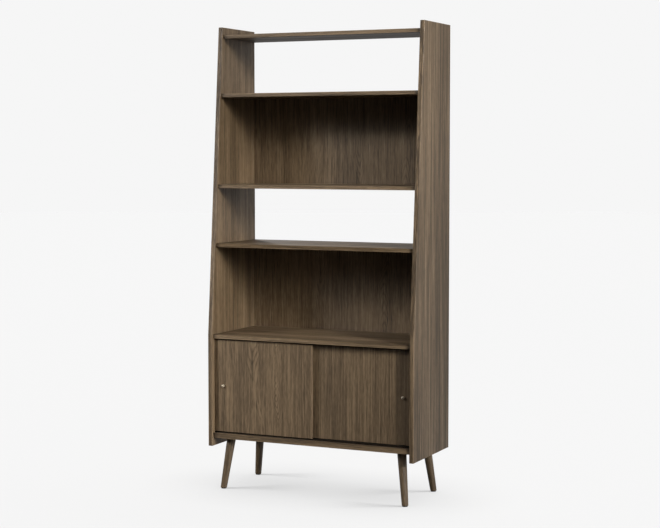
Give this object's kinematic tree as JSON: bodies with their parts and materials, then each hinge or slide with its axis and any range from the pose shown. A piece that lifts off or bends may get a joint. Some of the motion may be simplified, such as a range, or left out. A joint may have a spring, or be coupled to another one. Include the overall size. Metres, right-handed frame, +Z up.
{
  "type": "bookcase_cabinet",
  "caption": "Tall bookcase cabinet in dark walnut veneer: sides that lean back above a low cabinet, fixed shelves, open and backed bays, sliding doors with brass knobs, splayed tapered legs.",
  "frame": {"origin": "on the floor, under the middle of the case's width and depth", "axes": "+Z up, +Y to the back, +X to the right as seen from the front"},
  "size_m": [0.9, 0.38, 1.88],
  "materials": {
    "walnut_veneer": "satin dark walnut veneer, straight grain",
    "back_veneer": "satin dark walnut veneer on thin board, upright grain",
    "leg_wood": "satin dark stained turned wood",
    "satin_brass": "satin pale brass",
    "zinc_steel": "dull zinc plate",
    "dark_plastic": "matte dark brown extruded plastic",
    "black_nylon": "matte black nylon"
  },
  "bodies": {
    "case": {"cabinet_bottom": "walnut_veneer", "cabinet_top": "walnut_veneer", "front_left_leg": "leg_wood", "front_left_leg_bolt": "zinc_steel", "front_left_leg_pad": "black_nylon", "front_left_leg_plate": "zinc_steel", "front_left_leg_plate_screw_1": "zinc_steel", "front_left_leg_plate_screw_2": "zinc_steel", "front_left_leg_plate_screw_3": "zinc_steel", "front_left_leg_plate_screw_4": "zinc_steel", "front_right_leg": "leg_wood", "front_right_leg_bolt": "zinc_steel", "front_right_leg_pad": "black_nylon", "front_right_leg_plate": "zinc_steel", "front_right_leg_plate_screw_1": "zinc_steel", "front_right_leg_plate_screw_2": "zinc_steel", "front_right_leg_plate_screw_3": "zinc_steel", "front_right_leg_plate_screw_4": "zinc_steel", "left_side_panel": "walnut_veneer", "lower_back_panel": "back_veneer", "lower_shelf": "walnut_veneer", "lower_track": "dark_plastic", "middle_shelf": "walnut_veneer", "rear_left_leg": "leg_wood", "rear_left_leg_bolt": "zinc_steel", "rear_left_leg_pad": "black_nylon", "rear_left_leg_plate": "zinc_steel", "rear_left_leg_plate_screw_1": "zinc_steel", "rear_left_leg_plate_screw_2": "zinc_steel", "rear_left_leg_plate_screw_3": "zinc_steel", "rear_left_leg_plate_screw_4": "zinc_steel", "rear_right_leg": "leg_wood", "rear_right_leg_bolt": "zinc_steel", "rear_right_leg_pad": "black_nylon", "rear_right_leg_plate": "zinc_steel", "rear_right_leg_plate_screw_1": "zinc_steel", "rear_right_leg_plate_screw_2": "zinc_steel", "rear_right_leg_plate_screw_3": "zinc_steel", "rear_right_leg_plate_screw_4": "zinc_steel", "right_side_panel": "walnut_veneer", "top_shelf": "walnut_veneer", "upper_back_panel": "back_veneer", "upper_shelf": "walnut_veneer", "upper_track": "dark_plastic"},
    "left_door_body": {"left_door": "walnut_veneer", "left_door_inner_glide": "black_nylon", "left_door_inner_guide": "black_nylon", "left_door_outer_glide": "black_nylon", "left_door_outer_guide": "black_nylon", "left_knob": "satin_brass", "left_knob_screw": "zinc_steel"},
    "right_door_body": {"right_door": "walnut_veneer", "right_door_inner_glide": "black_nylon", "right_door_inner_guide": "black_nylon", "right_door_outer_glide": "black_nylon", "right_door_outer_guide": "black_nylon", "right_knob": "satin_brass", "right_knob_screw": "zinc_steel"}
  },
  "joints": [
    {"name": "left_door_slide", "type": "slide", "parent": "case", "child": "left_door_body", "axis": [1, 0, 0], "range_m": [0, 0.421]},
    {"name": "right_door_slide", "type": "slide", "parent": "case", "child": "right_door_body", "axis": [1, 0, 0], "range_m": [-0.421, 0]}
  ]
}
